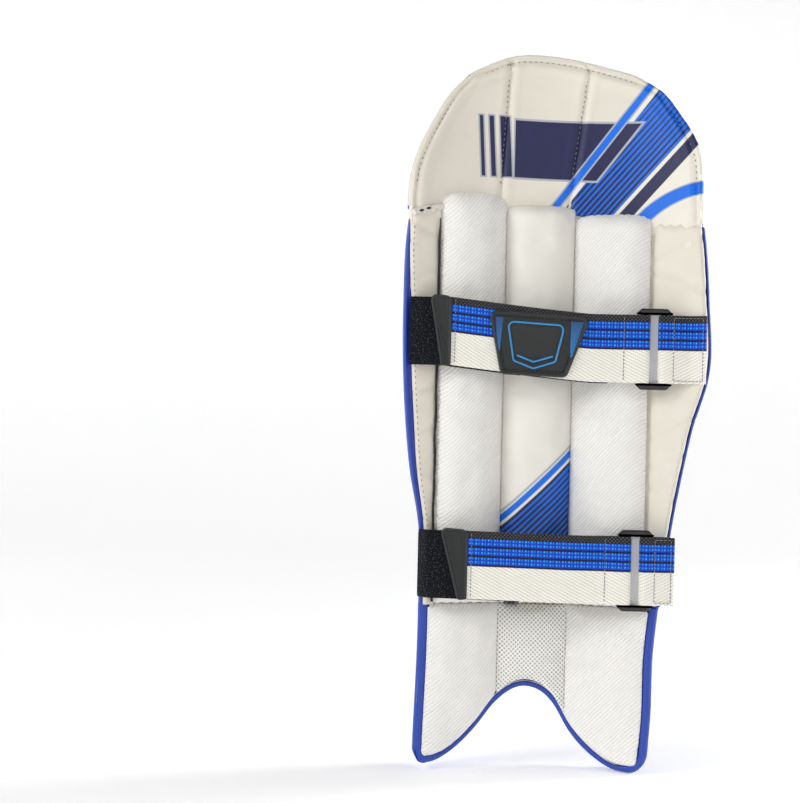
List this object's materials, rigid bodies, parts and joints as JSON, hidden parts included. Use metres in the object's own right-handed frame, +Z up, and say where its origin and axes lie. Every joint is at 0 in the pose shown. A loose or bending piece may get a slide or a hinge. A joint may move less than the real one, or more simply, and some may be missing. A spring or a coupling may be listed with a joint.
{
  "type": "cricket leg guard",
  "caption": "Padded leg guard with stuffed front channels, a knee flap, a side wing, a bolster and two ring-and-webbing straps.",
  "frame": {"origin": "middle line of the pad at the height of its lowest edge, in the plane of the foam's inner face", "axes": "+Z up the shin, +Y out of the front face, +X to the outer side of the leg"},
  "size_m": [0.29, 0.0919, 0.6869],
  "materials": {
    "blue_cover": "satin blue PU over stuffed channels",
    "cream_cover": "satin cream PU lining",
    "mesh_cloth": "white ribbed mesh",
    "printed_cover": "smooth white cloth with printed stripes",
    "foam": "closed-cell foam, hidden",
    "stiffener": "thin polyethylene board, hidden",
    "cane": "split cane, hidden",
    "black_piping": "black piping cord",
    "webbing": "white and blue woven strap",
    "loop_cloth": "black hook-and-loop tape",
    "moulded_rubber": "charcoal soft moulded rubber",
    "ring_plastic": "glossy black moulded plastic"
  },
  "bodies": {
    "shin_guard": {"shin_foam_core": "foam", "shin_lining": "cream_cover", "medial_facing": "cream_cover", "edge_binding": "blue_cover", "cane_rods": "cane", "front_edge_roll": "blue_cover", "front_outer_roll_medial": "blue_cover", "front_inner_roll_medial": "blue_cover", "front_center_upper": "blue_cover", "front_center_lower": "blue_cover", "front_inner_roll_lateral": "blue_cover", "front_outer_roll_lateral": "blue_cover", "front_ridge_lateral": "blue_cover", "bolster_cover_medial": "mesh_cloth", "bolster_cover_middle": "printed_cover", "bolster_cover_lateral": "mesh_cloth", "bolster_filling": "foam", "bolster_piping": "black_piping", "lower_mesh_medial": "mesh_cloth", "lower_mesh_middle": "mesh_cloth", "lower_mesh_lateral": "mesh_cloth", "lower_filling": "foam", "upper_tape_root": "loop_cloth", "lower_tape_root": "loop_cloth"},
    "knee_flap": {"flap_foam_core": "foam", "flap_stiffener_board": "stiffener", "flap_hem": "cream_cover", "flap_edge_medial": "blue_cover", "flap_side_medial": "blue_cover", "flap_ridge_medial": "blue_cover", "flap_center": "blue_cover", "flap_ridge_lateral": "blue_cover", "flap_side_lateral": "blue_cover", "flap_edge_lateral": "blue_cover", "flap_lining_medial": "cream_cover", "flap_lining_middle": "cream_cover", "flap_lining_lateral": "cream_cover"},
    "side_wing": {"wing_foam_core": "foam", "wing_facing": "cream_cover", "wing_front_upper": "blue_cover", "wing_front_middle": "blue_cover", "wing_front_lower": "blue_cover", "wing_front_foot": "blue_cover", "upper_anchor_tab": "webbing", "lower_anchor_tab": "webbing"},
    "upper_ring": {"upper_ring": "ring_plastic"},
    "upper_strap_base": {"upper_strap_fold": "webbing"},
    "upper_strap": {"upper_strap_webbing": "webbing", "upper_strap_backing": "loop_cloth", "upper_pull_tab": "moulded_rubber", "strap_badge": "moulded_rubber"},
    "upper_tape": {"upper_loop_tape": "loop_cloth"},
    "lower_ring": {"lower_ring": "ring_plastic"},
    "lower_strap_base": {"lower_strap_fold": "webbing"},
    "lower_strap": {"lower_strap_webbing": "webbing", "lower_strap_backing": "loop_cloth", "lower_pull_tab": "moulded_rubber"},
    "lower_tape": {"lower_loop_tape": "loop_cloth"}
  },
  "joints": [
    {"name": "knee_fold", "type": "hinge", "parent": "shin_guard", "child": "knee_flap", "pos_m": [0, -0.015, 0.545], "axis": [1, 0, 0], "range_deg": [-6, 25], "stiffness_Nm_per_rad": 8},
    {"name": "wing_fold", "type": "hinge", "parent": "shin_guard", "child": "side_wing", "pos_m": [0.11816, -0.00704, 0.345], "axis": [0, 0, 1], "range_deg": [0, 25], "stiffness_Nm_per_rad": 3},
    {"name": "upper_ring_swing", "type": "hinge", "parent": "side_wing", "child": "upper_ring", "pos_m": [0.113, -0.054, 0.403], "axis": [0, 0, 1], "range_deg": [0, 40]},
    {"name": "upper_strap_swing", "type": "hinge", "parent": "upper_ring", "child": "upper_strap_base", "pos_m": [0.095, -0.054, 0.403], "axis": [0, 0, 1], "range_deg": [0, 100]},
    {"name": "upper_strap_bend", "type": "hinge", "parent": "upper_strap_base", "child": "upper_strap", "pos_m": [0.06625, -0.054, 0.403], "axis": [0, 0, 1], "range_deg": [0, 60], "stiffness_Nm_per_rad": 0.02},
    {"name": "upper_tape_lift", "type": "hinge", "parent": "shin_guard", "child": "upper_tape", "pos_m": [-0.1129, -0.0475, 0.414], "axis": [0, 0, -1], "range_deg": [0, 80]},
    {"name": "lower_ring_swing", "type": "hinge", "parent": "side_wing", "child": "lower_ring", "pos_m": [0.1, -0.054, 0.196], "axis": [0, 0, 1], "range_deg": [0, 40]},
    {"name": "lower_strap_swing", "type": "hinge", "parent": "lower_ring", "child": "lower_strap_base", "pos_m": [0.082, -0.054, 0.196], "axis": [0, 0, 1], "range_deg": [0, 100]},
    {"name": "lower_strap_bend", "type": "hinge", "parent": "lower_strap_base", "child": "lower_strap", "pos_m": [0.05325, -0.054, 0.196], "axis": [0, 0, 1], "range_deg": [0, 60], "stiffness_Nm_per_rad": 0.02},
    {"name": "lower_tape_lift", "type": "hinge", "parent": "shin_guard", "child": "lower_tape", "pos_m": [-0.1009, -0.0475, 0.196], "axis": [0, 0, -1], "range_deg": [0, 80]}
  ],
  "couplings": [
    {"joint": "upper_tape_lift", "follows": "upper_strap_swing", "ratio": 0.8},
    {"joint": "lower_tape_lift", "follows": "lower_strap_swing", "ratio": 0.8}
  ]
}
